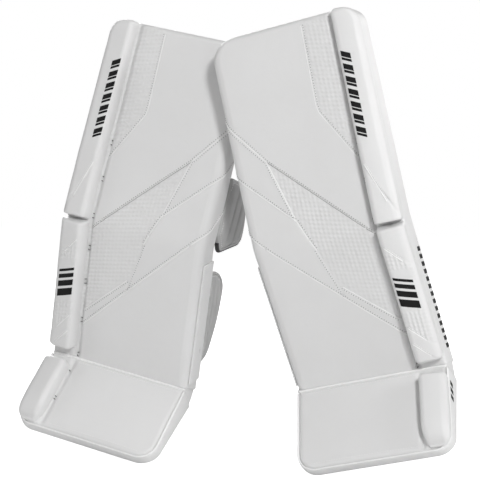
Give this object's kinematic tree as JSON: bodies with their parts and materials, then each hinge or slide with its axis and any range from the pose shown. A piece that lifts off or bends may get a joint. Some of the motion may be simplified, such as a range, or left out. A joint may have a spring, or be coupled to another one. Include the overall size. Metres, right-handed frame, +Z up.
{
  "type": "hockey goaltender leg pads",
  "caption": "Pair of white ice hockey goaltender leg pads with foam cores, outer rolls, knee and calf wings, boot sections and straps that hold them to the wearer's legs.",
  "frame": {"origin": "middle of the pair's bounding box, on the floor it stands on", "axes": "+Z up, -Y the way the striking faces look, +X towards the wearer's left pad; Y is the shortest extent"},
  "size_m": [0.8128, 0.2584, 0.8083],
  "materials": {
    "face_skin": "white coated synthetic leather, fine grain, semi-matte",
    "roll_skin": "white coated synthetic leather over firm foam, semi-matte",
    "wing_skin": "white synthetic leather over soft foam, matte",
    "foam_block": "white synthetic leather over foam, matte",
    "toe_rim": "white hard-wearing binding, semi-matte",
    "slide_panel": "smooth white low-friction facing",
    "board": "moulded polyethylene sheet",
    "lining": "black woven nylon",
    "webbing": "black woven webbing",
    "cord": "black braided lace",
    "moulding": "black moulded nylon"
  },
  "bodies": {
    "left_shin_body": {"left_shin_core": "face_skin", "left_shin_roll": "roll_skin", "left_shin_stiffener": "board", "left_shin_liner": "lining", "left_inner_edge_panel": "slide_panel", "left_calf_block": "foam_block", "left_knee_block_base": "foam_block", "left_knee_block_pad": "lining"},
    "left_thigh_body": {"left_thigh_core": "face_skin", "left_thigh_roll": "roll_skin", "left_thigh_liner": "lining"},
    "left_knee_wing_inner_body": {"left_knee_wing_inner": "wing_skin"},
    "left_knee_wing_outer_body": {"left_knee_wing_outer": "wing_skin"},
    "left_knee_strap_body": {"left_knee_strap": "webbing", "left_knee_strap_clip": "moulding"},
    "left_calf_wing_inner_body": {"left_calf_wing_inner": "wing_skin"},
    "left_calf_wing_outer_body": {"left_calf_wing_outer": "wing_skin"},
    "left_calf_strap_upper_body": {"left_calf_strap_upper": "webbing", "left_calf_strap_upper_clip": "moulding"},
    "left_calf_strap_lower_body": {"left_calf_strap_lower": "webbing", "left_calf_strap_lower_clip": "moulding"},
    "left_boot_body": {"left_boot_core": "face_skin", "left_boot_roll": "roll_skin", "left_boot_rim": "toe_rim", "left_boot_wing_outer": "wing_skin", "left_boot_wing_inner": "wing_skin", "left_toe_bridge": "moulding"},
    "left_boot_strap_body": {"left_boot_strap": "webbing", "left_boot_strap_clip": "moulding"},
    "left_toe_tie_body": {"left_toe_tie": "cord"},
    "right_shin_body": {"right_shin_core": "face_skin", "right_shin_roll": "roll_skin", "right_shin_stiffener": "board", "right_shin_liner": "lining", "right_inner_edge_panel": "slide_panel", "right_calf_block": "foam_block", "right_knee_block_base": "foam_block", "right_knee_block_pad": "lining"},
    "right_thigh_body": {"right_thigh_core": "face_skin", "right_thigh_roll": "roll_skin", "right_thigh_liner": "lining"},
    "right_knee_wing_inner_body": {"right_knee_wing_inner": "wing_skin"},
    "right_knee_wing_outer_body": {"right_knee_wing_outer": "wing_skin"},
    "right_knee_strap_body": {"right_knee_strap": "webbing", "right_knee_strap_clip": "moulding"},
    "right_calf_wing_inner_body": {"right_calf_wing_inner": "wing_skin"},
    "right_calf_wing_outer_body": {"right_calf_wing_outer": "wing_skin"},
    "right_calf_strap_upper_body": {"right_calf_strap_upper": "webbing", "right_calf_strap_upper_clip": "moulding"},
    "right_calf_strap_lower_body": {"right_calf_strap_lower": "webbing", "right_calf_strap_lower_clip": "moulding"},
    "right_boot_body": {"right_boot_core": "face_skin", "right_boot_roll": "roll_skin", "right_boot_rim": "toe_rim", "right_boot_wing_outer": "wing_skin", "right_boot_wing_inner": "wing_skin", "right_toe_bridge": "moulding"},
    "right_boot_strap_body": {"right_boot_strap": "webbing", "right_boot_strap_clip": "moulding"},
    "right_toe_tie_body": {"right_toe_tie": "cord"}
  },
  "joints": [
    {"name": "left_knee_flex", "type": "hinge", "parent": "left_shin_body", "child": "left_thigh_body", "pos_m": [0.18573, -0.08697, 0.41976], "axis": [-0.9735, -0.0436, -0.2246], "range_deg": [-6, 3], "stiffness_Nm_per_rad": 60},
    {"name": "left_boot_flex", "type": "hinge", "parent": "left_shin_body", "child": "left_boot_body", "pos_m": [0.24051, -0.00269, 0.16594], "axis": [-0.9735, -0.0436, -0.2246], "range_deg": [-11, 8], "stiffness_Nm_per_rad": 40},
    {"name": "left_knee_wing_inner_open", "type": "hinge", "parent": "left_thigh_body", "child": "left_knee_wing_inner_body", "pos_m": [0.04973, -0.03001, 0.38816], "axis": [-0.225, 0.0035, 0.9744], "range_deg": [0, 35], "stiffness_Nm_per_rad": 1},
    {"name": "left_knee_wing_outer_open", "type": "hinge", "parent": "left_thigh_body", "child": "left_knee_wing_outer_body", "pos_m": [0.28434, -0.0195, 0.44228], "axis": [0.225, -0.0035, -0.9744], "range_deg": [0, 70], "stiffness_Nm_per_rad": 1},
    {"name": "left_knee_strap_open", "type": "hinge", "parent": "left_knee_wing_outer_body", "child": "left_knee_strap_body", "pos_m": [0.26916, 0.05879, 0.50624], "axis": [0.225, -0.0035, -0.9744], "range_deg": [0, 100], "stiffness_Nm_per_rad": 0.2},
    {"name": "left_calf_wing_inner_open", "type": "hinge", "parent": "left_shin_body", "child": "left_calf_wing_inner_body", "pos_m": [0.04838, -0.03315, 0.40799], "axis": [-0.2007, -0.3087, 0.9297], "range_deg": [0, 70], "stiffness_Nm_per_rad": 1},
    {"name": "left_calf_wing_outer_open", "type": "hinge", "parent": "left_shin_body", "child": "left_calf_wing_outer_body", "pos_m": [0.28688, -0.02246, 0.46301], "axis": [0.2007, 0.3087, -0.9297], "range_deg": [0, 70], "stiffness_Nm_per_rad": 1},
    {"name": "left_calf_strap_upper_open", "type": "hinge", "parent": "left_calf_wing_outer_body", "child": "left_calf_strap_upper_body", "pos_m": [0.30066, 0.09577, 0.38478], "axis": [0.2007, 0.3087, -0.9297], "range_deg": [0, 100], "stiffness_Nm_per_rad": 0.2},
    {"name": "left_calf_strap_lower_open", "type": "hinge", "parent": "left_calf_wing_outer_body", "child": "left_calf_strap_lower_body", "pos_m": [0.31551, 0.11862, 0.31598], "axis": [0.2007, 0.3087, -0.9297], "range_deg": [0, 100], "stiffness_Nm_per_rad": 0.2},
    {"name": "left_boot_strap_open", "type": "hinge", "parent": "left_boot_body", "child": "left_boot_strap_body", "pos_m": [0.36812, 0.06071, 0.10806], "axis": [0.2103, -0.5572, -0.8033], "range_deg": [0, 100], "stiffness_Nm_per_rad": 0.2},
    {"name": "left_toe_tie_swing", "type": "hinge", "parent": "left_boot_body", "child": "left_toe_tie_body", "pos_m": [0.27131, -0.04283, 0.04024], "axis": [0.9735, 0.0436, 0.2246], "range_deg": [-60, 20], "stiffness_Nm_per_rad": 0.05},
    {"name": "pair_spread", "type": "slide", "parent": "left_shin_body", "child": "right_shin_body", "axis": [-1, 0, 0], "range_m": [0, 0.3]},
    {"name": "right_knee_flex", "type": "hinge", "parent": "right_shin_body", "child": "right_thigh_body", "pos_m": [-0.19027, -0.06697, 0.41791], "axis": [-0.9778, -0.0173, 0.2087], "range_deg": [-3, 12], "stiffness_Nm_per_rad": 60},
    {"name": "right_boot_flex", "type": "hinge", "parent": "right_shin_body", "child": "right_boot_body", "pos_m": [-0.24722, -0.02099, 0.1549], "axis": [-0.9778, -0.0173, 0.2087], "range_deg": [-11, 8], "stiffness_Nm_per_rad": 40},
    {"name": "right_knee_wing_inner_open", "type": "hinge", "parent": "right_thigh_body", "child": "right_knee_wing_inner_body", "pos_m": [-0.05931, -0.00231, 0.38043], "axis": [-0.2039, -0.1478, -0.9678], "range_deg": [0, 35], "stiffness_Nm_per_rad": 1},
    {"name": "right_knee_wing_outer_open", "type": "hinge", "parent": "right_thigh_body", "child": "right_knee_wing_outer_body", "pos_m": [-0.29496, -0.00647, 0.43073], "axis": [0.2039, 0.1478, 0.9678], "range_deg": [0, 70], "stiffness_Nm_per_rad": 1},
    {"name": "right_knee_strap_open", "type": "hinge", "parent": "right_knee_wing_outer_body", "child": "right_knee_strap_body", "pos_m": [-0.28815, 0.08037, 0.48423], "axis": [0.2039, 0.1478, 0.9678], "range_deg": [0, 100], "stiffness_Nm_per_rad": 0.2},
    {"name": "right_calf_wing_inner_open", "type": "hinge", "parent": "right_shin_body", "child": "right_calf_wing_inner_body", "pos_m": [-0.05808, -0.00277, 0.40051], "axis": [-0.2086, 0.1684, -0.9634], "range_deg": [0, 70], "stiffness_Nm_per_rad": 1},
    {"name": "right_calf_wing_outer_open", "type": "hinge", "parent": "right_shin_body", "child": "right_calf_wing_outer_body", "pos_m": [-0.29765, -0.007, 0.45164], "axis": [0.2086, -0.1684, 0.9634], "range_deg": [0, 70], "stiffness_Nm_per_rad": 1},
    {"name": "right_calf_strap_upper_open", "type": "hinge", "parent": "right_calf_wing_outer_body", "child": "right_calf_strap_upper_body", "pos_m": [-0.32036, 0.09858, 0.35876], "axis": [0.2086, -0.1684, 0.9634], "range_deg": [0, 100], "stiffness_Nm_per_rad": 0.2},
    {"name": "right_calf_strap_lower_open", "type": "hinge", "parent": "right_calf_wing_outer_body", "child": "right_calf_strap_lower_body", "pos_m": [-0.3358, 0.11105, 0.28747], "axis": [0.2086, -0.1684, 0.9634], "range_deg": [0, 100], "stiffness_Nm_per_rad": 0.2},
    {"name": "right_boot_strap_open", "type": "hinge", "parent": "right_boot_body", "child": "right_boot_strap_body", "pos_m": [-0.3788, 0.02263, 0.08826], "axis": [0.1433, 0.6716, 0.7269], "range_deg": [0, 100], "stiffness_Nm_per_rad": 0.2},
    {"name": "right_toe_tie_swing", "type": "hinge", "parent": "right_boot_body", "child": "right_toe_tie_body", "pos_m": [-0.27175, -0.07942, 0.03513], "axis": [0.9778, 0.0173, -0.2087], "range_deg": [-60, 20], "stiffness_Nm_per_rad": 0.05}
  ]
}
